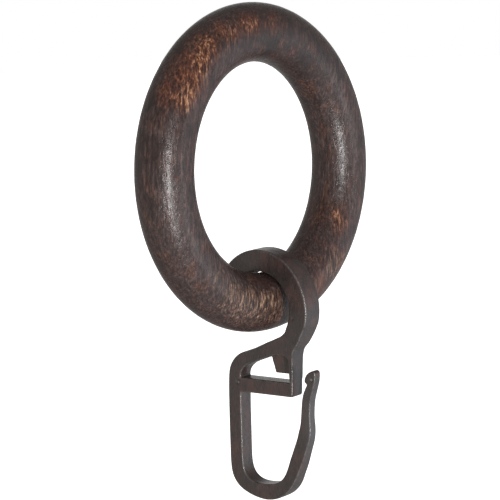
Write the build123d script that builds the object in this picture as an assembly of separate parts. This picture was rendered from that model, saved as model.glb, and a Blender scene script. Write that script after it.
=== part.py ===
from build123d import *
import math
import os

# ---------------------------------------------------------------------------
# Wooden curtain ring with a clip-on moulded hook.
# Frame: origin at the centre of the pole opening, +Y along the pole axis,
# +Z up. The ring stands in the XZ plane and the hook hangs from its lowest
# point, its own flat profile lying in the YZ plane (thickness along X).
# Hook profile points are (u, v) = (Y, Z) counted from the loop centre.
# All sizes in millimetres.
# ---------------------------------------------------------------------------

# wooden ring, turned, slightly flattened round section
ring_mean_r = 24.00         # radius of the section's centre line
ring_half_radial = 5.22     # half the section, along the ring's radius
ring_half_axial = 5.00      # half the section, along the pole axis

# hook placement
loop_y = -0.80              # loop centre, measured from the ring's centre
loop_z = -24.70

# clip loop
loop_ri = 6.36              # inside radius, clears the ring's section
loop_ro = 10.30             # outside radius
loop_tip_deg = -8.0         # centre of the rounded free end
jaw_root_deg = 128.0        # where the free jaw begins to flex
knuckle_gap = 0.06          # clearance of the two flexure knuckles

# hook depth along X, as half values against height below the loop centre
depth_steps = [(12.0, 2.08), (-4.5, 2.08), (-9.0, 1.65), (-13.5, 1.56), (-20.0, 1.52), (-40.0, 1.52)]
arm_depth_steps = [(-9.0, 0.84), (-20.0, 0.84), (-24.0, 0.96), (-28.0, 1.16), (-31.0, 1.38), (-32.7, 1.52), (-40.0, 1.52)]

# cross bar and post
bar_top = -13.50
bar_bottom = -16.20
post_inner = -5.10
web_half = 0.60             # half depth of the recessed corner web

# flexure of the gate arm
gate_pivot = (-4.30, -30.60)
gate_knuckle_r = 1.62
jaw_knuckle_r = 2.25

# outer edge of neck and post, from the loop down to the bar's corner
neck_outer = [(-9.27, -4.02), (-8.38, -5.50), (-7.62, -6.58), (-6.68, -7.62),
              (-6.27, -8.78), (-6.12, -10.10), (-5.97, -12.00), (-5.73, -15.20)]
# inner edge of the back bar and floor of the lower loop
inner_side = [(6.42, bar_bottom), (6.58, -18.30), (6.78, -22.60), (6.94, -26.00), (7.04, -28.60),
              (6.92, -30.20), (6.44, -31.45), (5.42, -32.35), (4.10, -32.80), (2.40, -32.90),
              (0.60, -32.70), (-0.75, -32.30), (-1.88, -31.55), (-2.70, -30.45)]
# inner edge of the gate arm up to its barb
arm_inner = [(-2.70, -30.45), (-3.28, -29.20), (-3.76, -27.90), (-4.33, -26.60), (-4.88, -25.30),
             (-5.45, -23.98), (-5.88, -22.70), (-6.38, -21.20), (-6.66, -19.50), (-6.92, -17.70),
             (-7.16, -16.40), (-7.44, -15.50), (-7.90, -14.55), (-8.30, -13.90)]
barb = [(-8.30, -13.90), (-8.38, -13.66), (-8.04, -13.42), (-7.90, -13.05), (-8.12, -12.35),
        (-8.62, -11.70), (-9.35, -11.26), (-10.05, -11.06), (-10.46, -11.38), (-10.48, -12.15)]
# outer edge of the gate arm, tip to root
arm_outer = [(-10.48, -12.15), (-10.32, -13.10), (-9.97, -14.15), (-9.60, -15.20), (-9.20, -16.40),
             (-8.92, -17.90), (-8.76, -19.70), (-8.78, -21.50), (-8.66, -22.90), (-8.33, -24.20),
             (-7.83, -25.45), (-7.32, -26.70), (-6.82, -27.95), (-6.20, -29.28), (-5.52, -30.55)]
# outer edge of the U floor, back bar, shoulder and throat
bow_outer = [(-5.52, -30.55), (-4.85, -31.85), (-3.98, -33.08), (-3.10, -33.95), (-2.30, -34.53),
             (-0.95, -35.22), (0.80, -35.72), (2.45, -35.84), (4.30, -35.62), (6.00, -35.16),
             (7.60, -34.46), (8.82, -33.50), (9.57, -32.40), (9.93, -31.25), (10.06, -29.60),
             (10.00, -27.40), (9.86, -24.00), (9.70, -20.50), (9.48, -16.80), (9.30, -14.60),
             (9.10, -13.00), (8.74, -11.70), (8.12, -10.68), (7.12, -9.64), (5.90, -8.90),
             (4.48, -8.40), (2.56, -7.76), (0.75, -7.02), (-0.60, -6.44), (-1.95, -5.92),
             (-3.10, -5.45), (-4.10, -4.98)]
# window between shoulder, post and cross bar
window = [(post_inner, bar_top), (6.30, bar_top), (6.18, -12.75), (5.85, -12.15), (5.25, -11.55),
          (4.45, -11.02), (3.50, -10.62), (2.50, -10.28), (1.20, -9.82), (-0.05, -9.40),
          (-1.30, -9.00), (-2.30, -8.74), (-3.60, -8.62), (-4.60, -8.78), (post_inner, -9.40)]
# thin web in the window's corner, beside the post
web = [(-0.53, -8.60), (-0.78, -9.94), (-1.10, -10.89), (-1.38, -12.10), (-5.40, -12.10), (-5.40, -8.20)]
# zone that holds the gate arm, used to divide the moulding
arm_zone = [(-14.0, -9.0), (-6.6, -9.0), (-6.6, -16.8), (-2.0, -27.5), (0.8, -31.6), (0.8, -38.0), (-14.0, -38.0)]


def P(u, v, x=0.0):
    return Vector(x, loop_y + u, loop_z + v)


def on_circle(r, deg):
    a = math.radians(deg)
    return (r * math.cos(a), r * math.sin(a))


def curve(pts):
    return Spline(*[P(*p) for p in pts])


def poly_face(pts):
    return make_face(Polyline(*[P(*p) for p in pts], close=True))


def prism(face, half):
    """Solid of a YZ face, from x = -half to x = +half."""
    return extrude(face.moved(Location((-half, 0, 0))), amount=2 * half, dir=(1, 0, 0))


def side_profile(steps, lo=-16.0, hi=14.0):
    """Solid whose depth along X follows the height, running along Y."""
    right = [(h, v) for v, h in steps]
    left = [(-h, v) for v, h in reversed(steps)]
    pts = [Vector(x, loop_y + lo, loop_z + v) for x, v in right + left]
    return extrude(make_face(Polyline(*pts, close=True)), amount=hi - lo, dir=(0, 1, 0))


def disc(centre, r, half):
    return Pos(0, loop_y + centre[0], loop_z + centre[1]) * (Rot(0, 90, 0) * Cylinder(r, 2 * half))


# ---- ring -----------------------------------------------------------------
section = Plane.XY * Pos(ring_mean_r, 0) * Ellipse(ring_half_radial, ring_half_axial)
wooden_ring = revolve(section, Axis.Y, 360)

# ---- hook profile ---------------------------------------------------------
mid_r = 0.5 * (loop_ri + loop_ro)
band = 0.5 * (loop_ro - loop_ri)
tip_c = on_circle(mid_r, loop_tip_deg)
tip_in = on_circle(loop_ri, loop_tip_deg)
tip_out = on_circle(loop_ro, loop_tip_deg)
tip_end = (tip_c[0] + band * math.sin(math.radians(loop_tip_deg)), tip_c[1] - band * math.cos(math.radians(loop_tip_deg)))
neck_start = on_circle(loop_ro, 196.0)
throat_end = on_circle(loop_ri, 206.0)
outer_top = on_circle(loop_ro, 90.0)
inner_top = on_circle(loop_ri, 90.0)

edges = [
    ThreePointArc(P(*tip_out), P(*outer_top), P(*neck_start)),
    Spline(*[P(*p) for p in [neck_start] + neck_outer],
           tangents=[Vector(0, math.sin(math.radians(16)), -math.cos(math.radians(16))), Vector(0, 0.08, -1)]),
    Spline(P(*neck_outer[-1]), P(-5.60, -15.96), P(-5.30, bar_bottom),
           tangents=[Vector(0, 0.08, -1), Vector(0, 1, 0)]),
    Line(P(-5.30, bar_bottom), P(*inner_side[0])),
    curve(inner_side),
    curve(arm_inner),
    curve(barb),
    curve(arm_outer),
    curve(bow_outer),
    Spline(P(*bow_outer[-1]), P(-5.05, -4.22), P(*throat_end),
           tangents=[Vector(0, -0.86, 0.5), Vector(0, -math.sin(math.radians(26)), math.cos(math.radians(26)))]),
    ThreePointArc(P(*throat_end), P(*inner_top), P(*tip_in)),
    ThreePointArc(P(*tip_in), P(*tip_end), P(*tip_out)),
]
profile = make_face(Wire(edges))
window_face = poly_face(window)

blank = prism(profile, 2.08) & side_profile(depth_steps)
blank = blank - prism(window_face, 3.0)
web_plate = prism(poly_face(web), web_half)

# ---- divide the moulding where it flexes ----------------------------------
jaw_c = on_circle(mid_r, jaw_root_deg)
arm_zone_solid = prism(poly_face(arm_zone), 3.0)
arm_blank = (blank & arm_zone_solid) & side_profile(arm_depth_steps)

# gate arm: everything in the zone above the pivot's cross line, with a round end
gate_dir = Vector(0, -0.40, 0.917)
gate_ang = math.degrees(math.atan2(0.917, -0.40))


def half_zone(centre, ang, back=30.0, side=14.0, shift=0.0):
    """Box that keeps what lies ahead of centre in the direction ang (degrees in YZ)."""
    b = Box(8.0, back, side)
    b = Pos(0, back / 2 + shift, 0) * b
    return Pos(0, loop_y + centre[0], loop_z + centre[1]) * (Rot(ang, 0, 0) * b)


gate_keep = half_zone(gate_pivot, gate_ang, back=24.0, side=10.0) & arm_zone_solid
gate_arm = arm_blank & (gate_keep + disc(gate_pivot, gate_knuckle_r, 3.0))
gate_cut = gate_keep + disc(gate_pivot, gate_knuckle_r + knuckle_gap, 3.5)

jaw_sector_pts = [(0.0, 0.0)] + [on_circle(16.0, a) for a in (-40, -10, 20, 50, 80, 105)] + [on_circle(16.0, jaw_root_deg)]
jaw_sector = prism(poly_face(jaw_sector_pts), 3.5)
loop_jaw = blank & (jaw_sector + disc(jaw_c, jaw_knuckle_r, 3.0))
jaw_cut = jaw_sector + disc(jaw_c, jaw_knuckle_r + knuckle_gap, 3.5)

hook_frame = (blank - arm_zone_solid) + (arm_blank - gate_cut)
hook_frame = hook_frame - jaw_cut
hook_frame = hook_frame + web_plate


def main_solid(shape):
    return max(shape.solids(), key=lambda s: s.volume)


parts = {
    "wooden_ring": main_solid(wooden_ring),
    "hook_frame": main_solid(hook_frame),
    "gate_arm": main_solid(gate_arm),
    "loop_jaw": main_solid(loop_jaw),
}

os.makedirs("parts", exist_ok=True)
for name, shape in parts.items():
    shape.label = name
    export_step(shape, "parts/" + name + ".step")
    bb = shape.bounding_box()
    print(name, "volume", round(shape.volume, 1), "solids", len(shape.solids()), "valid", shape.is_valid,
          "box", [round(v, 2) for v in (bb.min.X, bb.min.Y, bb.min.Z, bb.max.X, bb.max.Y, bb.max.Z)])
for n, s in (("hook_frame", hook_frame), ("gate_arm", gate_arm), ("loop_jaw", loop_jaw)):
    print(n, "pieces before choosing", [round(x.volume, 2) for x in s.solids()])
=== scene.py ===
import bpy, bmesh, math
import numpy as np
from mathutils import Vector, Matrix


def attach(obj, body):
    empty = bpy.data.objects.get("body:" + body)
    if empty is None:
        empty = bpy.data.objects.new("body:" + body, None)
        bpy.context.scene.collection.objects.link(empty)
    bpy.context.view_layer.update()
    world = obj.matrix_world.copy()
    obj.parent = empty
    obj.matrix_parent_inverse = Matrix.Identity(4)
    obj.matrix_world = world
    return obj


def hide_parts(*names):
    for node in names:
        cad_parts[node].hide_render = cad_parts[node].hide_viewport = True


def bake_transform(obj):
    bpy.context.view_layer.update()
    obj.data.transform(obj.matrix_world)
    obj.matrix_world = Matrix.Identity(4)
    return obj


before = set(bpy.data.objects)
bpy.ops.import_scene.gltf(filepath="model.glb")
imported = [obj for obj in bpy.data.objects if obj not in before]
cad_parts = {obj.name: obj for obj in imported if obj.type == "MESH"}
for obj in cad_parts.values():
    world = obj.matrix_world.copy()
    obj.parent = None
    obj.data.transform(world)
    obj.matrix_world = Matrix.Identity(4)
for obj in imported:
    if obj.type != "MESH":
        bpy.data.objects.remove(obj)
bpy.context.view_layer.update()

MM = 0.001

# ---------------------------------------------------------------------------
# camera
# ---------------------------------------------------------------------------
AZ, EL, DIST = -49.5989, 6.0280, 361.912
PAN, TILT, ROLL = -0.31169, 2.29717, 3.53848
FOCAL = 2040.05 / 500.0 * 36.0


def rot(axis, deg):
    return np.array(Matrix.Rotation(math.radians(deg), 3, axis))


a_, e_ = math.radians(AZ), math.radians(EL)
cam_pos = DIST * np.array([math.sin(a_) * math.cos(e_), -math.cos(a_) * math.cos(e_), math.sin(e_)])
fwd = -cam_pos / np.linalg.norm(cam_pos)
right = np.cross(fwd, [0, 0, 1.0]); right /= np.linalg.norm(right)
up = np.cross(right, fwd)
CW = rot("Z", ROLL) @ rot("Y", PAN) @ rot("X", TILT) @ np.array([right, up, -fwd])
cam_data = bpy.data.cameras.new("camera")
cam = bpy.data.objects.new("camera", cam_data)
bpy.context.scene.collection.objects.link(cam)
m4 = Matrix.Identity(4)
for r in range(3):
    for c in range(3):
        m4[r][c] = CW[c, r]
    m4[r][3] = cam_pos[r] * MM
cam.matrix_world = m4
cam_data.sensor_fit = "HORIZONTAL"
cam_data.sensor_width = 36.0
cam_data.lens = FOCAL
cam_data.clip_start, cam_data.clip_end = 0.01, 20.0
bpy.context.scene.camera = cam

# ---------------------------------------------------------------------------
# noise in numpy, the same every run
# ---------------------------------------------------------------------------


def _hash(ix, iy, iz, seed):
    h = (ix.astype(np.int64) * 374761393 + iy.astype(np.int64) * 668265263 + iz.astype(np.int64) * 2147483647 + seed * 1274126177) & 0xFFFFFFFF
    h = ((h ^ (h >> 13)) * 1274126177) & 0xFFFFFFFF
    h = (h ^ (h >> 16)) & 0xFFFFFFFF
    return h.astype(np.float64) / 4294967295.0


def vnoise(p, seed=0):
    """Smooth value noise in [-1, 1]."""
    i = np.floor(p).astype(np.int64)
    f = p - i
    f = f * f * f * (f * (f * 6 - 15) + 10)
    out = np.zeros(len(p))
    for dx in (0, 1):
        for dy in (0, 1):
            for dz in (0, 1):
                w = (f[:, 0] if dx else 1 - f[:, 0]) * (f[:, 1] if dy else 1 - f[:, 1]) * (f[:, 2] if dz else 1 - f[:, 2])
                out += w * _hash(i[:, 0] + dx, i[:, 1] + dy, i[:, 2] + dz, seed)
    return out * 2 - 1


def smoothstep(a, b, x):
    t = np.clip((x - a) / (b - a), 0, 1)
    return t * t * (3 - 2 * t)


# ---------------------------------------------------------------------------
# hook: signed distance field of the moulding, in millimetres.
# u = Y and v = Z counted from the loop's centre, x = depth.
# ---------------------------------------------------------------------------
LY, LZ = -0.80, -24.70
RI, RO, TIP = 6.36, 10.30, -8.0
MID, BAND = 0.5 * (RI + RO), 0.5 * (RO - RI)
INSET = 0.02
neck_outer = [(-9.27, -4.02), (-8.38, -5.50), (-7.62, -6.58), (-6.68, -7.62), (-6.27, -8.78),
              (-6.12, -10.10), (-5.97, -12.00), (-5.73, -15.20)]
inner_side = [(6.42, -16.20), (6.58, -18.30), (6.78, -22.60), (6.94, -26.00), (7.04, -28.60),
              (6.92, -30.20), (6.44, -31.45), (5.42, -32.35), (4.10, -32.80), (2.40, -32.90),
              (0.60, -32.70), (-0.75, -32.30), (-1.88, -31.55), (-2.70, -30.45), (-3.28, -29.20),
              (-3.76, -27.90), (-4.33, -26.60), (-4.88, -25.30), (-5.45, -23.98), (-5.88, -22.70),
              (-6.38, -21.20), (-6.66, -19.50), (-6.92, -17.70), (-7.16, -16.40), (-7.44, -15.50),
              (-7.90, -14.55), (-8.30, -13.90)]
barb = [(-8.30, -13.90), (-8.38, -13.66), (-8.04, -13.42), (-7.90, -13.05), (-8.12, -12.35),
        (-8.62, -11.70), (-9.35, -11.26), (-10.05, -11.06), (-10.46, -11.38), (-10.48, -12.15)]
outer_side = [(-10.48, -12.15), (-10.32, -13.10), (-9.97, -14.15), (-9.60, -15.20), (-9.20, -16.40),
              (-8.92, -17.90), (-8.76, -19.70), (-8.78, -21.50), (-8.66, -22.90), (-8.33, -24.20),
              (-7.83, -25.45), (-7.32, -26.70), (-6.82, -27.95), (-6.20, -29.28), (-5.52, -30.55),
              (-4.85, -31.85), (-3.98, -33.08), (-3.10, -33.95), (-2.30, -34.53), (-0.95, -35.22),
              (0.80, -35.72), (2.45, -35.84), (4.30, -35.62), (6.00, -35.16), (7.60, -34.46),
              (8.82, -33.50), (9.57, -32.40), (9.93, -31.25), (10.06, -29.60), (10.00, -27.40),
              (9.86, -24.00), (9.70, -20.50), (9.48, -16.80), (9.30, -14.60), (9.10, -13.00),
              (8.74, -11.70), (8.12, -10.68), (7.12, -9.64), (5.90, -8.90), (4.48, -8.40),
              (2.56, -7.76), (0.75, -7.02), (-0.60, -6.44), (-1.95, -5.92), (-3.10, -5.45),
              (-4.10, -4.98), (-5.05, -4.22)]
window = [(-5.10, -13.50), (6.30, -13.50), (6.18, -12.75), (5.85, -12.15), (5.25, -11.55),
          (4.45, -11.02), (3.50, -10.62), (2.50, -10.28), (1.20, -9.82), (-0.05, -9.40),
          (-1.30, -9.00), (-2.30, -8.74), (-3.60, -8.62), (-4.60, -8.78), (-5.10, -9.40)]
web = [(-0.53, -8.60), (-0.78, -9.94), (-1.10, -10.89), (-1.38, -12.10), (-5.40, -12.10),
       (-5.40, -8.20)]


def circ(r, d0, d1, n):
    t = np.radians(np.linspace(d0, d1, n))
    return np.stack([r * np.cos(t), r * np.sin(t)], 1)


def spline(pts, step=0.22):
    """Centripetal Catmull-Rom through the points."""
    p = np.array(pts, float)
    p = np.vstack([2 * p[0] - p[1], p, 2 * p[-1] - p[-2]])
    out = []
    for i in range(1, len(p) - 2):
        p0, p1, p2, p3 = p[i - 1], p[i], p[i + 1], p[i + 2]
        t0 = 0.0
        t1 = t0 + np.linalg.norm(p1 - p0) ** 0.5
        t2 = t1 + np.linalg.norm(p2 - p1) ** 0.5
        t3 = t2 + np.linalg.norm(p3 - p2) ** 0.5
        n = max(2, int(np.linalg.norm(p2 - p1) / step))
        t = np.linspace(t1, t2, n, endpoint=False)[:, None]
        a1 = (t1 - t) / (t1 - t0) * p0 + (t - t0) / (t1 - t0) * p1
        a2 = (t2 - t) / (t2 - t1) * p1 + (t - t1) / (t2 - t1) * p2
        a3 = (t3 - t) / (t3 - t2) * p2 + (t - t2) / (t3 - t2) * p3
        b1 = (t2 - t) / (t2 - t0) * a1 + (t - t0) / (t2 - t0) * a2
        b2 = (t3 - t) / (t3 - t1) * a2 + (t - t1) / (t3 - t1) * a3
        out.append((t2 - t) / (t2 - t1) * b1 + (t - t1) / (t2 - t1) * b2)
    out.append(p[-2][None, :])
    return np.vstack(out)


tip_c = np.array([MID * math.cos(math.radians(TIP)), MID * math.sin(math.radians(TIP))])
tip_arc = circ(BAND, TIP - 180, TIP, 26) + tip_c
neck0 = np.array([RO * math.cos(math.radians(196)), RO * math.sin(math.radians(196))])
profile = np.vstack([
    circ(RO, TIP, 192, 170),
    spline([tuple(neck0)] + neck_outer),
    spline([(-5.73, -15.20), (-5.60, -15.96), (-5.30, -16.20)], 0.1),
    np.array([(-5.0, -16.20), (6.3, -16.20)]),
    spline(inner_side),
    spline(barb, 0.08),
    spline(outer_side),
    circ(RI, 208, TIP, 180),
    tip_arc[1:-1],
])


def polygon_sdf(poly, U, V):
    """Signed distance to a closed polygon, negative inside."""
    a = poly
    b = np.roll(poly, -1, axis=0)
    keep = np.linalg.norm(b - a, axis=1) > 1e-6
    a, b = a[keep], b[keep]
    shape = U.shape
    p = np.stack([U.ravel(), V.ravel()], 1)
    best = np.full(len(p), 1e9)
    odd = np.zeros(len(p), bool)
    for s in range(0, len(a)):
        ax, ay = a[s]
        bx, by = b[s]
        ex, ey = bx - ax, by - ay
        wx, wy = p[:, 0] - ax, p[:, 1] - ay
        t = np.clip((wx * ex + wy * ey) / (ex * ex + ey * ey), 0, 1)
        dx, dy = wx - t * ex, wy - t * ey
        np.minimum(best, dx * dx + dy * dy, out=best)
        if ay != by:
            c = ((p[:, 1] >= ay) != (p[:, 1] >= by)) & (p[:, 0] < (p[:, 1] - ay) / (by - ay) * ex + ax)
            odd ^= c
    d = np.sqrt(best)
    d[odd] *= -1
    return d.reshape(shape)


G = 0.10                                     # step of the flat distance fields
U0, U1, V0, V1 = -11.6, 11.0, -36.8, 11.4
nu, nv = int(round((U1 - U0) / G)) + 1, int(round((V1 - V0) / G)) + 1
gu, gv = U0 + G * np.arange(nu), V0 + G * np.arange(nv)
GU, GV = np.meshgrid(gu, gv, indexing="ij")


def blur(F, sigma):
    r = int(math.ceil(3 * sigma / G))
    k = np.exp(-0.5 * (np.arange(-r, r + 1) * G / sigma) ** 2)
    k /= k.sum()
    for ax in (0, 1):
        pad = [(0, 0), (0, 0)]
        pad[ax] = (r, r)
        P = np.pad(F, pad, mode="edge")
        F = sum(k[i] * np.take(P, range(i, i + F.shape[ax]), axis=ax) for i in range(2 * r + 1))
    return F


d_out = polygon_sdf(profile, GU, GV)
d_win = polygon_sdf(np.array(window, float), GU, GV)
d_web = polygon_sdf(np.array(web, float), GU, GV)
D_MAIN = blur(np.maximum(d_out, -d_win), 0.10)
D_WEB = blur(d_web, 0.10)


def lerp(table, x):
    xs = [t[0] for t in table][::-1]
    ys = [t[1] for t in table][::-1]
    return np.interp(x, xs, ys)


depth_steps = [(12.0, 2.08), (-4.5, 2.08), (-9.0, 1.65), (-13.5, 1.56), (-20.0, 1.52), (-40.0, 1.52)]
arm_steps = [(-9.0, 0.84), (-20.0, 0.84), (-24.0, 0.96), (-28.0, 1.16), (-31.0, 1.38), (-32.7, 1.52), (-40.0, 1.52)]
arm_zone = np.array([(-14.0, -9.0), (-6.6, -9.0), (-6.6, -16.8), (-2.0, -27.5), (0.8, -31.6), (0.8, -38.0), (-14.0, -38.0)])
in_arm = polygon_sdf(arm_zone, GU, GV) < 0
H = np.where(in_arm, lerp(arm_steps, GV), lerp(depth_steps, GV))
R = lerp([(12, 0.36), (-4.0, 0.36), (-8.0, 0.32), (-40, 0.32)], GV)
post = smoothstep(-4.2, -4.9, GU) * smoothstep(-14.2, -13.2, GV) * smoothstep(-7.6, -8.8, GV) * (1 - in_arm)
R = R * (1 - post) + 0.20 * post
bar = smoothstep(-12.6, -13.6, GV) * smoothstep(-17.2, -16.4, GV) * smoothstep(6.8, 5.6, GU) * (1 - in_arm)
R = R * (1 - bar) + 0.40 * bar
R = np.where(in_arm, lerp([(-9, 0.26), (-24, 0.28), (-33, 0.32), (-40, 0.32)], GV), R)
Hs = blur(np.where(in_arm, 0, H), 0.25)      # softens the main depth field only where it is alone
wgt = blur(np.where(in_arm, 0.0, 1.0), 0.25)
H = np.where(in_arm, H, Hs / np.maximum(wgt, 1e-6))


def spot(cu, cv, r):
    return np.exp(-(((GU - cu) ** 2 + (GV - cv) ** 2) / r ** 2) ** 2)


# round marks of the mould's ejector pins, and a speck
PIT_F = 0.24 * spot(6.98, -14.35, 0.48) + 0.13 * spot(3.32, -33.97, 0.60) + 0.12 * spot(-7.18, -1.69, 0.22)
PIT_F = PIT_F + 0.17 * spot(-9.55, -12.65, 0.42)
PIT_F -= 0.04 * (spot(3.32, -33.97, 0.82) - spot(3.32, -33.97, 0.68))
PIT_B = 0.10 * spot(7.9, -20.0, 0.62) + 0.10 * spot(-8.2, 2.0, 0.75) + 0.10 * spot(0.4, -8.1, 0.60) + 0.10 * spot(4.2, 7.1, 0.75)


def sampler(F):
    """Catmull-Rom bicubic sampling of a flat field."""
    def f(u, v):
        fu, fv = (u - U0) / G, (v - V0) / G
        iu, iv = np.floor(fu).astype(int), np.floor(fv).astype(int)
        iu, iv = np.clip(iu, 1, nu - 3), np.clip(iv, 1, nv - 3)
        tu, tv = np.clip(fu - iu, 0, 1), np.clip(fv - iv, 0, 1)

        def w(t):
            return [((-0.5 * t + 1.0) * t - 0.5) * t, (1.5 * t - 2.5) * t * t + 1.0,
                    ((-1.5 * t + 2.0) * t + 0.5) * t, (0.5 * t - 0.5) * t * t]
        wu, wv = w(tu), w(tv)
        out = 0.0
        for i in range(4):
            for j in range(4):
                out = out + wu[i] * wv[j] * F[iu + i - 1, iv + j - 1]
        return out
    return f


S = {k: sampler(F) for k, F in dict(main=D_MAIN, web=D_WEB, h=H, r=R, pf=PIT_F, pb=PIT_B).items()}


def rounded(d, ax, h, r):
    qx, qy = d + r, ax - (h - r)
    return np.minimum(np.maximum(qx, qy), 0) + np.hypot(np.maximum(qx, 0), np.maximum(qy, 0)) - r


def smin(a, b, k):
    t = np.clip(0.5 + 0.5 * (b - a) / k, 0, 1)
    return b + (a - b) * t - k * t * (1 - t)


def combine(x, dm, dw, h, r, pf, pb):
    h = h - np.where(x < 0, pf, pb)
    body = rounded(dm + INSET, np.abs(x), h, r)
    body = body - 0.018 * np.exp(-(x / 0.13) ** 2)          # flash line where the mould halves meet
    plate = rounded(dw, np.abs(x), 0.60, 0.14)
    return smin(body, plate, 0.22)


def sdf(P):
    u, v = P[:, 1], P[:, 2]
    return combine(P[:, 0], *[S[k](u, v) for k in ("main", "web", "h", "r", "pf", "pb")])


def gradient(P, f0):
    e = 0.02
    g = np.zeros_like(P)
    for k in range(3):
        Q = P.copy()
        Q[:, k] += e
        Q2 = P.copy()
        Q2[:, k] -= e
        g[:, k] = (sdf(Q) - sdf(Q2)) / (2 * e)
    return g


def surface_nets(F, origin, h):
    ins = F < 0
    n = np.array(F.shape)
    corner = [(i, j, k) for i in (0, 1) for j in (0, 1) for k in (0, 1)]
    s = np.zeros(tuple(n - 1), np.int8)
    for i, j, k in corner:
        s += ins[i:n[0] - 1 + i, j:n[1] - 1 + j, k:n[2] - 1 + k]
    active = (s > 0) & (s < 8)
    ids = np.argwhere(active)
    index = np.full(tuple(n - 1), -1, np.int64)
    index[active] = np.arange(len(ids))
    acc = np.zeros((len(ids), 3))
    cnt = np.zeros(len(ids))
    for a in corner:
        for ax in range(3):
            if a[ax] == 0:
                b = list(a)
                b[ax] = 1
                fa = F[ids[:, 0] + a[0], ids[:, 1] + a[1], ids[:, 2] + a[2]]
                fb = F[ids[:, 0] + b[0], ids[:, 1] + b[1], ids[:, 2] + b[2]]
                m = (fa < 0) != (fb < 0)
                t = fa[m] / (fa[m] - fb[m])
                p = np.tile(np.array(a, float), (m.sum(), 1))
                p[:, ax] += t
                acc[m] += p
                cnt[m] += 1
    verts = (ids + acc / cnt[:, None]) * h + origin
    quads = []
    for ax in range(3):
        b, c = (ax + 1) % 3, (ax + 2) % 3
        lo = [slice(None)] * 3
        hi = [slice(None)] * 3
        lo[ax], hi[ax] = slice(0, n[ax] - 1), slice(1, n[ax])
        A, B = ins[tuple(lo)], ins[tuple(hi)]
        e = np.argwhere(A != B)
        e = e[(e[:, b] > 0) & (e[:, c] > 0) & (e[:, b] < n[b] - 1) & (e[:, c] < n[c] - 1)]
        flip = A[e[:, 0], e[:, 1], e[:, 2]]
        eb, ec = np.zeros(3, int), np.zeros(3, int)
        eb[b], ec[c] = 1, 1
        q = [e, e - eb, e - eb - ec, e - ec]
        q = np.stack([index[t[:, 0], t[:, 1], t[:, 2]] for t in q], 1)
        q[~flip] = q[~flip][:, ::-1]
        quads.append(q)
    return verts, np.vstack(quads)


def build_hook():
    h = 0.13
    xs = np.arange(-2.3, 2.3 + h, h) + h * 0.37
    us = np.arange(-11.0, 10.4, h) + h * 0.21
    vs = np.arange(-36.0, 10.9, h) + h * 0.43
    UU, VV = np.meshgrid(us, vs, indexing="ij")
    flat = [S[k](UU.ravel(), VV.ravel()).reshape(UU.shape) for k in ("main", "web", "h", "r", "pf", "pb")]
    F = np.stack([combine(np.full(UU.shape, x), *flat) for x in xs], 0)
    V, Q = surface_nets(F, np.array([xs[0], us[0], vs[0]]), h)
    e = np.vstack([Q[:, [0, 1]], Q[:, [1, 2]], Q[:, [2, 3]], Q[:, [3, 0]]])
    deg = np.bincount(e.ravel(), minlength=len(V)).astype(float)
    for it in range(6):
        if it:
            avg = np.zeros_like(V)
            for k in range(3):
                avg[:, k] = np.bincount(e[:, 0], V[e[:, 1], k], len(V)) + np.bincount(e[:, 1], V[e[:, 0], k], len(V))
            avg /= deg[:, None]
            move = avg - V
            g = gradient(V, None)
            g /= np.maximum(np.linalg.norm(g, axis=1), 1e-6)[:, None]
            move -= (move * g).sum(1)[:, None] * g
            V = V + 0.6 * move
        for _ in range(2):
            f = sdf(V)
            g = gradient(V, f)
            l2 = np.maximum((g * g).sum(1), 0.2)
            V = V - np.clip(f / l2, -0.1, 0.1)[:, None] * g
    r, hh = S["r"](V[:, 1], V[:, 2]), S["h"](V[:, 1], V[:, 2])
    qx, qy = S["main"](V[:, 1], V[:, 2]) + INSET + r, np.abs(V[:, 0]) - (hh - r)
    edge = smoothstep(0.25, 0.85, np.minimum(qx, qy) / (0.707 * r))
    return V, Q, edge


def mesh_from(name, V, Q):
    me = bpy.data.meshes.new(name)
    me.vertices.add(len(V))
    me.vertices.foreach_set("co", np.ascontiguousarray(V, np.float32).ravel())
    me.loops.add(Q.size)
    me.loops.foreach_set("vertex_index", np.ascontiguousarray(Q, np.int32).ravel())
    me.polygons.add(len(Q))
    me.polygons.foreach_set("loop_start", np.arange(0, Q.size, 4, dtype=np.int32))
    me.update(calc_edges=True)
    me.validate()
    me.polygons.foreach_set("use_smooth", np.ones(len(me.polygons), bool))
    ob = bpy.data.objects.new(name, me)
    bpy.context.scene.collection.objects.link(ob)
    return ob


HV, HQ, HE = build_hook()
HW = np.stack([HV[:, 0], HV[:, 1] + LY, HV[:, 2] + LZ], 1) * MM
whole = mesh_from("hook_whole", HW, HQ)
whole.data.attributes.new("edge", "FLOAT", "POINT").data.foreach_set("value", HE.astype(np.float32))

SEAM_V, SEAM_U = -0.5, 3.6                  # where the moulding is divided into pieces


def local(co):
    return co.x / MM, co.y / MM - LY, co.z / MM - LZ


def cut(bm, co, no, test):
    faces = [f for f in bm.faces if test(*local(f.calc_center_median()))]
    geom = set(faces)
    for f in faces:
        geom.update(f.edges)
        geom.update(f.verts)
    bmesh.ops.bisect_plane(bm, geom=list(geom), dist=2e-6, plane_co=co, plane_no=no)


def region(x, u, v):
    if (v > SEAM_V and u < 0) or (v > -4.5 and u >= 0):
        return "jaw"
    if (v < -16.7 and u < SEAM_U) or (-16.7 <= v < -10.6 and u < -6.95):
        return "gate"
    return "frame"


bm = bmesh.new()
bm.from_mesh(whole.data)
cut(bm, ((0, 0, (LZ + SEAM_V) * MM)), (0, 0, 1), lambda x, u, v: u < -4 and abs(v - SEAM_V) < 1.0)
cut(bm, ((0, (LY + SEAM_U) * MM, 0)), (0, 1, 0), lambda x, u, v: v < -30 and abs(u - SEAM_U) < 1.0)
cut_mesh = bpy.data.meshes.new("hook_cut")
bm.to_mesh(cut_mesh)
bm.free()
bpy.data.objects.remove(whole)


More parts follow.
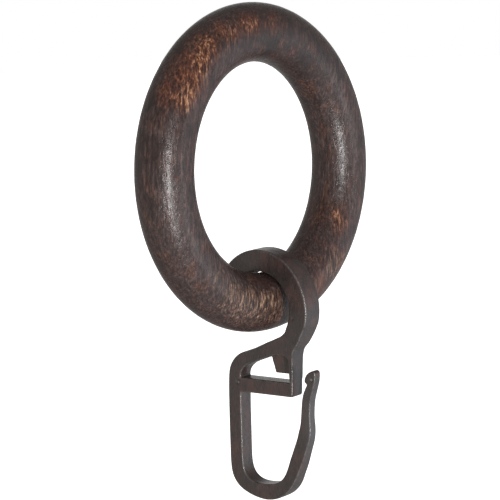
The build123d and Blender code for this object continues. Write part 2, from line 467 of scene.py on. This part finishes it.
def piece(kind, name):
    b = bmesh.new()
    b.from_mesh(cut_mesh)
    drop = [f for f in b.faces if region(*local(f.calc_center_median())) != kind]
    bmesh.ops.delete(b, geom=drop, context="FACES")
    rim = [e for e in b.edges if e.is_boundary]
    if rim:
        made = bmesh.ops.holes_fill(b, edges=rim, sides=0)
        caps = made["faces"]
        for e in rim:
            e.smooth = False
        for f in caps:
            f.smooth = False
        bmesh.ops.triangulate(b, faces=caps)
    me = bpy.data.meshes.new(name)
    b.to_mesh(me)
    b.free()
    ob = bpy.data.objects.new(name, me)
    bpy.context.scene.collection.objects.link(ob)
    return ob


hook_body = piece("frame", "hook_moulding_frame")
hook_gate = piece("gate", "hook_moulding_gate_arm")
hook_jaw = piece("jaw", "hook_moulding_clip_jaw")

# ---------------------------------------------------------------------------
# wooden ring: dense turned body with pores and slight tool undulation
# ---------------------------------------------------------------------------
RM, RA, RB = 24.00, 5.22, 5.00


def build_ring():
    n1, n2 = ((800, 208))
    t1 = np.linspace(0, 2 * np.pi, n1, endpoint=False)
    t2 = np.linspace(0, 2 * np.pi, n2, endpoint=False)
    A, B = np.meshgrid(t1, t2, indexing="ij")
    cr, sr = np.cos(A), np.sin(A)
    # the inside of the rod is turned a little fuller, most of all at the bottom
    full = 0.12 + 0.12 * smoothstep(0.20, 0.95, -np.sin(A))
    # but worn where the hook's throat passes when the hook is turned up
    wear_and_painted_light = (np.sin(A) < 0) * (1 - smoothstep(3.0, 5.5, np.abs(RM * np.cos(A)))) * smoothstep(-1.2, 0.8, RB * np.sin(B))
    full = full * (1 - wear_and_painted_light) - 0.04 * wear_and_painted_light
    rad = RM + np.where(np.cos(B) < 0, RA + full, RA) * np.cos(B)
    P = np.stack([rad * cr, RB * np.sin(B), rad * sr], -1).reshape(-1, 3)
    N = np.stack([np.cos(B) / RA * cr, np.sin(B) / RB, np.cos(B) / RA * sr], -1).reshape(-1, 3)
    N /= np.linalg.norm(N, axis=1)[:, None]
    q = P.copy()
    q[:, 0] -= 0.16 * P[:, 2]                # the grain leans a little
    low = 0.5 + 0.5 * vnoise(q * [0.10, 0.10, 0.06], 11)
    mid = 0.5 + 0.5 * vnoise(q * [0.45, 0.45, 0.16], 12)
    peel = 0.5 + 0.5 * vnoise(q * [1.3, 1.3, 0.9], 13)
    peel2 = 0.5 + 0.5 * vnoise(q * [2.4, 2.4, 1.7], 16)
    pore = vnoise(q * [2.6, 2.6, 0.55], 14) + 0.55 * vnoise(q * [4.4, 4.4, 0.9], 15)
    pit = smoothstep(0.55, 1.1, pore)
    d = 0.026 * low + 0.012 * mid + 0.024 * peel + 0.013 * peel2 + 0.036 * pit
    P = P - N * d[:, None]
    i = np.arange(n1)[:, None] * n2
    j = np.arange(n2)[None, :]
    i2 = ((np.arange(n1) + 1) % n1)[:, None] * n2
    j2 = (np.arange(n2)[None, :] + 1) % n2
    Q = np.stack([i + j, i + j2, i2 + j2, i2 + j], -1).reshape(-1, 4)
    return P, Q, pit


RP, RQ, RPIT = build_ring()
ring = mesh_from("turned_wood_ring", RP * MM, RQ)
bmr = bmesh.new()
bmr.from_mesh(ring.data)
bmesh.ops.recalc_face_normals(bmr, faces=bmr.faces)
bmr.to_mesh(ring.data)
bmr.free()

# ---------------------------------------------------------------------------
# materials
# ---------------------------------------------------------------------------


class Nodes:
    def __init__(self, name):
        self.mat = bpy.data.materials.new(name)
        self.mat.use_nodes = True
        self.nt = self.mat.node_tree
        self.bsdf = self.nt.nodes["Principled BSDF"]
        tc = self.nt.nodes.new("ShaderNodeTexCoord")
        self.obj = tc.outputs["Object"]

    def new(self, kind, **props):
        n = self.nt.nodes.new(kind)
        for k, v in props.items():
            setattr(n, k, v)
        return n

    def link(self, a, b):
        self.nt.links.new(a, b)

    def put(self, socket, value):
        if hasattr(value, "is_output"):
            self.link(value, socket)
        else:
            socket.default_value = value

    def mapping(self, vec, scale=(1, 1, 1), rotation=(0, 0, 0), location=(0, 0, 0)):
        n = self.new("ShaderNodeMapping")
        self.link(vec, n.inputs["Vector"])
        n.inputs["Scale"].default_value = scale
        n.inputs["Rotation"].default_value = rotation
        n.inputs["Location"].default_value = location
        return n.outputs["Vector"]

    def noise(self, vec, scale, detail=3.0, rough=0.5, distortion=0.0, out="Fac"):
        n = self.new("ShaderNodeTexNoise")
        self.link(vec, n.inputs["Vector"])
        n.inputs["Scale"].default_value = scale
        n.inputs["Detail"].default_value = detail
        n.inputs["Roughness"].default_value = rough
        n.inputs["Distortion"].default_value = distortion
        return n.outputs[out]

    def ramp(self, fac, stops, interp="LINEAR"):
        n = self.new("ShaderNodeValToRGB")
        self.link(fac, n.inputs["Fac"])
        cr = n.color_ramp
        cr.interpolation = interp
        while len(cr.elements) < len(stops):
            cr.elements.new(0.5)
        for e, (p, c) in zip(cr.elements, stops):
            e.position = p
            e.color = (c, c, c, 1) if isinstance(c, (int, float)) else (*c, 1)
        return n.outputs["Color"]

    def mix(self, fac, a, b, mode="MIX"):
        n = self.new("ShaderNodeMix", data_type="RGBA", blend_type=mode)
        self.put(n.inputs[0], fac)
        self.put(n.inputs[6], a if not isinstance(a, tuple) else (*a, 1))
        self.put(n.inputs[7], b if not isinstance(b, tuple) else (*b, 1))
        return n.outputs[2]

    def math(self, op, a, b=None, c=None, clamp=False):
        n = self.new("ShaderNodeMath", operation=op, use_clamp=clamp)
        self.put(n.inputs[0], a)
        if b is not None:
            self.put(n.inputs[1], b)
        if c is not None:
            self.put(n.inputs[2], c)
        return n.outputs[0]

    def blob(self, vec, centre, radius, soft=1.0):
        """1 at a point of the object, falling to 0 at radius (millimetres)."""
        sub = self.new("ShaderNodeVectorMath", operation="SUBTRACT")
        self.link(vec, sub.inputs[0])
        sub.inputs[1].default_value = centre
        div = self.new("ShaderNodeVectorMath", operation="DIVIDE")
        self.link(sub.outputs[0], div.inputs[0])
        div.inputs[1].default_value = radius
        ln = self.new("ShaderNodeVectorMath", operation="LENGTH")
        self.link(div.outputs[0], ln.inputs[0])
        mr = self.new("ShaderNodeMapRange", interpolation_type="SMOOTHSTEP")
        self.link(ln.outputs["Value"], mr.inputs["Value"])
        mr.inputs["From Min"].default_value = 1.0
        mr.inputs["From Max"].default_value = 0.15
        return mr.outputs["Result"]

    def bump(self, height, strength, distance, normal=None):
        n = self.new("ShaderNodeBump")
        n.inputs["Strength"].default_value = strength
        n.inputs["Distance"].default_value = distance
        self.link(height, n.inputs["Height"])
        if normal is not None:
            self.link(normal, n.inputs["Normal"])
        return n.outputs["Normal"]


def wood():
    w = Nodes("stained_lacquered_wood")
    mm = w.mapping(w.obj, scale=(1000, 1000, 1000))
    # grain runs up the object and leans a little
    lean = w.mapping(mm, rotation=(0, math.radians(-9), 0))
    warp = w.noise(lean, 0.22, 3, out="Color")
    wv = w.new("ShaderNodeVectorMath", operation="MULTIPLY_ADD")
    w.link(warp, wv.inputs[0])
    wv.inputs[1].default_value = (0.9, 0.9, 1.0)
    w.link(lean, wv.inputs[2])
    g = wv.outputs[0]
    cloud = w.noise(w.mapping(g, scale=(1, 1, 0.55)), 0.20, 4, 0.6)
    cloud2 = w.noise(w.mapping(g, scale=(1, 1, 0.40), location=(31, 7, 3)), 0.55, 4, 0.62)
    fibre = w.noise(w.mapping(g, scale=(1, 1, 0.11)), 2.3, 5, 0.66)
    short = w.noise(w.mapping(g, scale=(1, 1, 0.20), location=(5, 9, 1)), 3.7, 4, 0.62)
    tex = w.math("ADD", w.math("MULTIPLY", fibre, 0.55), w.math("MULTIPLY", short, 0.45))
    # places where the stain is thinner and the wood shows warm
    spots = [((-18.8, -3.4, 20.3), (4.4, 5, 4.4), 0.85), ((-21.3, -3.3, 18.1), (4.2, 5, 4.8), 0.90), ((-20.2, -4.6, 16.4), (4.4, 5, 5.0), 1.0),
             ((-23.4, -3.0, 15.6), (4.0, 5, 4.6), 0.80), ((-15.2, -3.7, 22.9), (4.6, 5, 3.6), 0.90), ((-10.2, -4.3, 24.6), (4.5, 6, 3.2), 0.75),
             ((-4.7, -4.6, 25.4), (4.5, 7, 3.2), 0.85), ((2.0, -4.6, 25.0), (5, 7, 3.0), 0.45),
             ((-0.6, -4.9, -25.0), (4.0, 7, 4.0), 0.80), ((-11.0, -4.8, -21.4), (4.0, 7, 3.0), 0.50),
             ((15.9, -1.6, -10.6), (3.0, 5, 4.5), 0.45), ((17.8, -3.9, -11.5), (3.0, 5, 5.0), 0.50),
             ((16.4, -4.8, -19.3), (5, 7, 4.5), 0.45), ((10.5, -4.8, -22.5), (5, 7, 4), 0.50),
             ((6, 4.5, 23.5), (8, 6, 5), 0.8), ((22, 4, 8), (6, 6, 8), 0.7), ((-20, 4.5, -10), (6, 6, 9), 0.7), ((-22, 4.0, 9), (5, 6, 7), 0.7)]
    streaks = [((-15.0, -3.9, 22.8), (1.9, 4, 2.4), 0.80), ((-16.6, -4.2, 21.0), (1.8, 4, 2.6), 0.95), ((-18.0, -4.5, 19.2), (1.8, 4, 2.6), 1.0),
               ((-19.6, -4.6, 17.3), (1.8, 4, 2.6), 0.95), ((-21.1, -4.6, 15.5), (1.8, 4, 2.6), 1.0), ((-22.7, -4.5, 13.7), (1.9, 4, 2.4), 0.95),
               ((-10.0, -4.6, 24.2), (2.6, 5, 2.0), 0.45), ((-4.7, -4.6, 25.4), (3.0, 6, 2.4), 0.50), ((17.6, -3.0, -11.6), (1.5, 5, 4.0), 0.55),
               ((7, 4.5, 23.0), (3, 6, 4), 0.8), ((22, 4, 7), (2.5, 6, 6), 0.7), ((-21, 4.5, -9), (2.5, 6, 6), 0.7)]
    # pale flecks of the grain; at the front of the bottom they are partly painted highlights on the raised pores
    pale_flecks_and_glints = [((-17.2, -4.9, -17.4), (3.6, 7, 4.2), 0.45), ((-14.2, -4.8, -20.4), (4.2, 7, 4.2), 0.75), ((-10.6, -4.8, -22.6), (4.8, 7, 4.2), 0.95),
              ((-6.6, -4.9, -23.6), (5.0, 7, 4.2), 1.0), ((-2.6, -4.9, -24.2), (4.6, 7, 4.0), 0.85),
              ((15.0, -4.8, -19.8), (4.5, 7, 4.0), 0.5), ((10, 4.5, -21), (8, 6, 5), 0.8), ((-15, 4.6, 18), (6, 6, 6), 0.6)]

    def gather(places):
        total = None
        for c, r, k in places:
            m = w.math("MULTIPLY", w.blob(mm, c, r), k)
            total = m if total is None else w.math("MAXIMUM", total, m)
        return total

    warm, streak, fleck_and_glint = gather(spots), gather(streaks), gather(pale_flecks_and_glints)
    patch = w.ramp(w.math("ADD", w.math("MULTIPLY", cloud, 0.5), w.math("MULTIPLY", cloud2, 0.5)), [(0.40, 0.0), (0.56, 1.0)])
    warm = w.math("MULTIPLY", warm, w.math("ADD", w.math("MULTIPLY", patch, 0.75), 0.30), clamp=True)
    cold = w.ramp(tex, [(0.40, (0.030, 0.0185, 0.0168)), (0.48, (0.050, 0.0310, 0.0285)), (0.54, (0.075, 0.0470, 0.0430)),
                        (0.61, (0.118, 0.0780, 0.0700))])
    rust = w.ramp(tex, [(0.40, (0.026, 0.0125, 0.0100)), (0.48, (0.062, 0.0260, 0.0180)), (0.55, (0.120, 0.0470, 0.0300)),
                        (0.62, (0.230, 0.1000, 0.0600))])
    hot = w.ramp(tex, [(0.38, (0.026, 0.0105, 0.0078)), (0.46, (0.082, 0.0275, 0.0165)), (0.53, (0.150, 0.0520, 0.0290)),
                       (0.60, (0.250, 0.1050, 0.0560)), (0.66, (0.400, 0.2200, 0.1300))])
    tan = w.ramp(tex, [(0.40, (0.026, 0.0100, 0.0068)), (0.48, (0.105, 0.0370, 0.0200)), (0.53, (0.225, 0.0920, 0.0480)),
                       (0.57, (0.440, 0.2200, 0.1200)), (0.63, (0.680, 0.4400, 0.2700))])
    pale = w.ramp(tex, [(0.40, (0.017, 0.0105, 0.0090)), (0.47, (0.058, 0.0330, 0.0250)), (0.52, (0.135, 0.0740, 0.0500)),
                        (0.57, (0.310, 0.1880, 0.1260)), (0.63, (0.600, 0.4200, 0.2900))])
    stray = w.ramp(cloud2, [(0.52, 0.0), (0.70, 0.40)])
    cold = w.mix(stray, cold, rust)
    # painted shade: the colour is darkened over the top of the ring, and at the back of the bottom
    painted_shade = gather([((1.0, -3.5, 24.0), (12, 9, 8), 0.62), ((12.5, -3.5, 20.0), (10, 9, 9), 0.58), ((0.0, 4.5, -24.0), (12, 6, 8), 0.5)])
    cold = w.mix(painted_shade, cold, (0.0200, 0.0130, 0.0115))
    # uneven stain: darker and redder blotches a few millimetres across
    blotch = w.noise(w.mapping(g, scale=(1, 1, 0.6), location=(13, 2, 40)), 0.42, 3, 0.6)
    cold = w.mix(w.ramp(blotch, [(0.36, 0.55), (0.50, 0.0)]), cold, (0.0210, 0.0130, 0.0115))
    cold = w.mix(w.ramp(blotch, [(0.52, 0.0), (0.66, 0.50)]), cold, rust)
    col = w.mix(warm, cold, hot)
    broken = w.ramp(cloud2, [(0.34, 0.30), (0.50, 1.0)])
    # partly painted highlight: pale flecks, which at the front of the bottom stand in for glints on the raised pores
    col = w.mix(w.math("MULTIPLY", fleck_and_glint, broken), col, pale)
    col = w.mix(w.math("MULTIPLY", streak, broken), col, tan)
    # dark stain settled in the pores
    pore = w.noise(w.mapping(g, scale=(1, 1, 0.33), location=(2, 2, 2)), 2.6, 3, 0.6)
    dark = w.ramp(pore, [(0.33, 1.0), (0.44, 0.0)])
    col = w.mix(w.math("MULTIPLY", dark, w.math("MULTIPLY_ADD", warm, 0.35, 0.45)), col, (0.0130, 0.0090, 0.0085))
    w.link(col, w.bsdf.inputs["Base Color"])
    grit = w.noise(mm, 1.6, 3, 0.55)
    rr = w.new("ShaderNodeMapRange")
    w.link(w.math("ADD", w.math("MULTIPLY", grit, 0.6), w.math("MULTIPLY", cloud, 0.4)), rr.inputs["Value"])
    rr.inputs["From Min"].default_value, rr.inputs["From Max"].default_value = 0.35, 0.65
    rr.inputs["To Min"].default_value, rr.inputs["To Max"].default_value = 0.24, 0.38
    w.link(rr.outputs["Result"], w.bsdf.inputs["Roughness"])
    pin = w.new("ShaderNodeTexVoronoi", feature="F1")
    w.link(w.mapping(g, scale=(1, 1, 0.6)), pin.inputs["Vector"])
    pin.inputs["Scale"].default_value = 1.35
    hole = w.ramp(pin.outputs["Distance"], [(0.08, 0.0), (0.20, 1.0)])
    n1 = w.bump(grit, 0.24, 0.00018)
    n2 = w.bump(w.ramp(pore, [(0.34, 0.0), (0.47, 1.0)]), 0.28, 0.00007, n1)
    n3 = w.bump(hole, 0.32, 0.00007, n2)
    w.link(n3, w.bsdf.inputs["Normal"])
    w.bsdf.inputs["Specular IOR Level"].default_value = 0.5
    return w.mat


def plastic():
    w = Nodes("brown_moulded_plastic")
    mm = w.mapping(w.obj, scale=(1000, 1000, 1000))
    cloud = w.noise(mm, 0.20, 3, 0.5)
    flow = w.noise(w.mapping(mm, scale=(0.7, 1, 0.45)), 1.0, 4, 0.6)
    grain = w.noise(mm, 5.5, 4, 0.65)
    scuff = w.noise(w.mapping(mm, scale=(1, 1.3, 0.30), rotation=(0.5, 0.2, 0.1)), 3.6, 3, 0.65)
    col = w.ramp(w.math("ADD", w.math("MULTIPLY", cloud, 0.55), w.math("MULTIPLY", flow, 0.45)),
                 [(0.36, (0.032, 0.0265, 0.0262)), (0.50, (0.050, 0.0340, 0.0305)), (0.64, (0.084, 0.0430, 0.0355))])
    col = w.mix(w.math("MULTIPLY", w.ramp(scuff, [(0.52, 0.0), (0.68, 0.7)]), 0.5), col, (0.125, 0.100, 0.092))
    # painted light: the springy arm's front is made paler and greyer in the colour
    wear_and_painted_light = w.math("MULTIPLY", w.blob(mm, (0, -9.6, -45.0), (5, 3.4, 13)), w.ramp(flow, [(0.30, 0.5), (0.6, 1.0)]))
    col = w.mix(w.math("MULTIPLY", wear_and_painted_light, 0.75), col, (0.078, 0.073, 0.075))
    # painted highlight: the rounded edges made paler in a broken line, and smoother
    at_ = w.new("ShaderNodeAttribute", attribute_type="GEOMETRY", attribute_name="edge")
    painted_edge_highlight = w.math("MULTIPLY", at_.outputs["Fac"], w.ramp(w.noise(mm, 1.6, 4, 0.65), [(0.40, 0.15), (0.56, 1.0)]))
    col = w.mix(w.math("MULTIPLY", painted_edge_highlight, 0.60), col, (0.170, 0.155, 0.150))
    # painted highlight: pale specks on the dimples of the ejector pins
    for c in ((-2.0, 6.10, -39.15), (-1.2, -10.35, -37.40)):
        col = w.mix(w.math("MULTIPLY", w.blob(mm, c, (1.4, 0.42, 0.34)), 0.8), col, (0.36, 0.35, 0.34))
    w.link(col, w.bsdf.inputs["Base Color"])
    rr = w.new("ShaderNodeMapRange")
    w.link(w.math("ADD", w.math("MULTIPLY", scuff, 0.5), w.math("MULTIPLY", flow, 0.5)), rr.inputs["Value"])
    rr.inputs["From Min"].default_value, rr.inputs["From Max"].default_value = 0.35, 0.65
    rr.inputs["To Min"].default_value, rr.inputs["To Max"].default_value = 0.24, 0.38
    w.link(w.math("MULTIPLY_ADD", painted_edge_highlight, -0.08, rr.outputs["Result"]), w.bsdf.inputs["Roughness"])
    n1 = w.bump(grain, 0.30, 0.00005)
    n2 = w.bump(flow, 0.22, 0.00022, n1)
    w.link(n2, w.bsdf.inputs["Normal"])
    w.bsdf.inputs["Specular IOR Level"].default_value = 0.75
    return w.mat


WOOD, PLASTIC = wood(), plastic()
for ob, mat in ((ring, WOOD), (hook_body, PLASTIC), (hook_gate, PLASTIC), (hook_jaw, PLASTIC)):
    ob.data.materials.clear()
    ob.data.materials.append(mat)
for name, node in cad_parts.items():
    node.data.materials.clear()
    node.data.materials.append(WOOD if name == "wooden_ring" else PLASTIC)

# ---------------------------------------------------------------------------
# which body each piece rides on
# ---------------------------------------------------------------------------


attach(ring, "ring")
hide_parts("wooden_ring")
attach(hook_body, "hook")
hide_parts("hook_frame")
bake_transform(hook_gate)
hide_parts("gate_arm")
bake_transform(hook_jaw)
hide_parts("loop_jaw")

# ---------------------------------------------------------------------------
# studio
# ---------------------------------------------------------------------------
FLOOR_Z = -0.40
fm = bpy.data.meshes.new("studio_floor")
s_ = 6.0
fm.from_pydata([(-s_, -s_, FLOOR_Z), (s_, -s_, FLOOR_Z), (s_, s_, FLOOR_Z), (-s_, s_, FLOOR_Z)], [], [(0, 1, 2, 3)])
floor = bpy.data.objects.new("studio_floor", fm)
bpy.context.scene.collection.objects.link(floor)
fmat = bpy.data.materials.new("pale_floor")
fmat.use_nodes = True
fb = fmat.node_tree.nodes["Principled BSDF"]
fb.inputs["Base Color"].default_value = (0.92, 0.92, 0.92, 1)
fb.inputs["Roughness"].default_value = 0.9
fb.inputs["Emission Color"].default_value = (1, 1, 1, 1)
fb.inputs["Emission Strength"].default_value = 1.30
fm.materials.append(fmat)
floor.visible_diffuse = False
floor.visible_glossy = False
floor.visible_shadow = False

world = bpy.data.worlds.new("studio")
bpy.context.scene.world = world
world.use_nodes = True
wt = world.node_tree
for n in list(wt.nodes):
    wt.nodes.remove(n)
out = wt.nodes.new("ShaderNodeOutputWorld")
lp = wt.nodes.new("ShaderNodeLightPath")
mixw = wt.nodes.new("ShaderNodeMixShader")
bg_cam = wt.nodes.new("ShaderNodeBackground")
bg_cam.inputs["Color"].default_value = (1, 1, 1, 1)
bg_cam.inputs["Strength"].default_value = 1.0
bg_lit = wt.nodes.new("ShaderNodeBackground")
tcw = wt.nodes.new("ShaderNodeTexCoord")


def lobe(direction, sharp, gain, tint):
    """A soft light patch of the surroundings, centred on a direction."""
    d = np.array(direction, float)
    d /= np.linalg.norm(d)
    dot = wt.nodes.new("ShaderNodeVectorMath")
    dot.operation = "DOT_PRODUCT"
    wt.links.new(tcw.outputs["Generated"], dot.inputs[0])
    dot.inputs[1].default_value = tuple(d)
    val = dot.outputs["Value"]
    for op, k in (("MAXIMUM", 0.0), ("POWER", sharp)):
        n = wt.nodes.new("ShaderNodeMath")
        n.operation = op
        wt.links.new(val, n.inputs[0])
        n.inputs[1].default_value = k
        val = n.outputs[0]
    sc = wt.nodes.new("ShaderNodeVectorMath")
    sc.operation = "SCALE"
    sc.inputs[0].default_value = tuple(gain * t for t in tint)
    wt.links.new(val, sc.inputs["Scale"])
    return sc.outputs[0]


view_dir = -cam_pos / np.linalg.norm(cam_pos)           # from camera to object
img_right = right
total = None
COOL, NEUTRAL, WARM = (0.86, 0.97, 1.09), (1.0, 0.985, 0.965), (1.05, 0.98, 0.91)
for d, s, g_, tint in ((view_dir - np.array([0, 0, 0.02]), 7.0, 0.46, NEUTRAL),              # pale wall behind
                       (view_dir + up * 0.30, 40.0, 0.38, NEUTRAL),                                  # and above it
                       (img_right * 1.0 - up * 0.42 + view_dir * 0.10, 4.0, 0.60, COOL),
                       (-img_right * 1.0 + view_dir * 0.1, 3.0, 0.26, WARM),
                       ((0, 0, 1), 2.0, 0.06, NEUTRAL),
                       (-view_dir - up * 0.8, 2.0, 0.50, NEUTRAL),
                       ((0, 0, 1), 0.0, 0.17, NEUTRAL)):                                     # even part
    l = lobe(d, s, g_, tint)
    if total is None:
        total = l
    else:
        ad = wt.nodes.new("ShaderNodeVectorMath")
        ad.operation = "ADD"
        wt.links.new(total, ad.inputs[0])
        wt.links.new(l, ad.inputs[1])
        total = ad.outputs[0]
wt.links.new(total, bg_lit.inputs["Color"])
bg_lit.inputs["Strength"].default_value = 1.0
wt.links.new(lp.outputs["Is Camera Ray"], mixw.inputs[0])
wt.links.new(bg_lit.outputs[0], mixw.inputs[1])
wt.links.new(bg_cam.outputs[0], mixw.inputs[2])
wt.links.new(mixw.outputs[0], out.inputs["Surface"])


def softbox(name, direction, dist, size, power, target=(0, 0, -0.012), size_y=None):
    d = np.array(direction, float)
    d /= np.linalg.norm(d)
    ld = bpy.data.lights.new(name, "AREA")
    ld.shape = "RECTANGLE" if size_y else "SQUARE"
    ld.size = size
    if size_y:
        ld.size_y = size_y
    ld.energy = power
    lo = bpy.data.objects.new(name, ld)
    lo.location = Vector(target) + Vector(d) * dist
    lo.rotation_mode = "QUATERNION"
    lo.rotation_quaternion = Vector(-d).to_track_quat("-Z", "Y")
    bpy.context.scene.collection.objects.link(lo)
    return lo


cdir = -view_dir
img_up = up
softbox("key_strip", cdir * 0.92 + img_right * 0.34 - img_up * 0.20, 0.60, 0.050, 2.7, size_y=0.40)
softbox("fill_right", cdir * 0.3 + img_right * 1.0 - img_up * 0.25, 0.8, 0.35, 0.55)

bpy.context.scene.view_settings.view_transform = "Standard"
bpy.context.scene.view_settings.look = "None"
bpy.context.scene.view_settings.exposure = 0.0
bpy.context.scene.view_settings.gamma = 1.0
